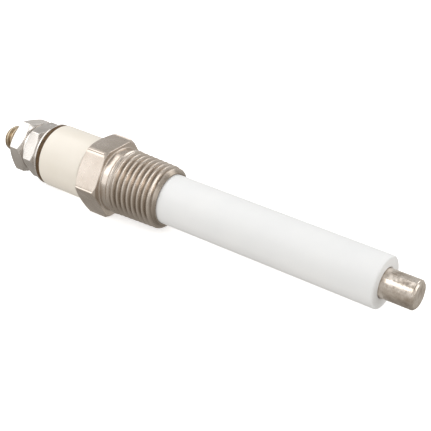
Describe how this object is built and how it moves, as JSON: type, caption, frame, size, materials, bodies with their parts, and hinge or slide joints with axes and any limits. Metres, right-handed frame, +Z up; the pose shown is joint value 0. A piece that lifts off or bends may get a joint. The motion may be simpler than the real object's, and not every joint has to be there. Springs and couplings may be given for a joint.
{
  "type": "ignition electrode",
  "caption": "Screw-in burner ignition electrode: hexagon shell with tapered pipe thread, two ceramic insulators, bare metal rod and screw terminal.",
  "frame": {"origin": "on the centre line, in the shoulder where the hexagon meets the threaded neck", "axes": "+X along the centre line towards the bare rod's tip, +Z up, normal to a flat of the shell's hexagon, +Y across"},
  "size_m": [0.0744, 0.0128, 0.0112],
  "materials": {
    "nickel_plate": "satin nickel plate over turned steel",
    "terminal_nickel": "bright nickel plate",
    "stud_steel": "plated steel with a faint golden tarnish",
    "rod_alloy": "drawn nickel alloy, lightly mottled",
    "cream_glaze": "cream glaze, glossy",
    "white_ceramic": "white, satin, unglazed",
    "gasket_fibre": "dark brown fibre, matt",
    "soft_metal": "soft sealing ring, matt",
    "cement": "rough ceramic cement"
  },
  "bodies": {
    "electrode": {"shell": "nickel_plate", "upper_insulator": "cream_glaze", "lower_insulator": "white_ceramic", "electrode_rod": "rod_alloy", "terminal_stud": "stud_steel", "shell_seal": "soft_metal", "seat_ring": "gasket_fibre", "cement_ring": "cement", "terminal_gasket": "gasket_fibre"},
    "cup_washer": {"cup_washer": "terminal_nickel"},
    "jam_nut": {"jam_nut": "terminal_nickel"},
    "terminal_washer": {"terminal_washer": "terminal_nickel"},
    "terminal_nut": {"terminal_nut": "terminal_nickel"}
  },
  "joints": [
    {"name": "jam_nut_travel", "type": "slide", "parent": "electrode", "child": "cup_washer", "axis": [-1, 0, 0], "range_m": [0, 0.00079375]},
    {"name": "jam_nut_turn", "type": "hinge", "parent": "cup_washer", "child": "jam_nut", "pos_m": [-0.0156, 0, 0], "axis": [-1, 0, 0], "range_deg": [0, 360]},
    {"name": "terminal_nut_travel", "type": "slide", "parent": "jam_nut", "child": "terminal_washer", "axis": [-1, 0, 0], "range_m": [0, 0.00238]},
    {"name": "terminal_nut_turn", "type": "hinge", "parent": "terminal_washer", "child": "terminal_nut", "pos_m": [-0.0185, 0, 0], "axis": [-1, 0, 0], "range_deg": [0, 1080]}
  ],
  "couplings": [
    {"joint": "jam_nut_turn", "follows": "jam_nut_travel", "rad_per_m": 7915.8},
    {"joint": "terminal_nut_turn", "follows": "terminal_nut_travel", "rad_per_m": 7915.8}
  ]
}
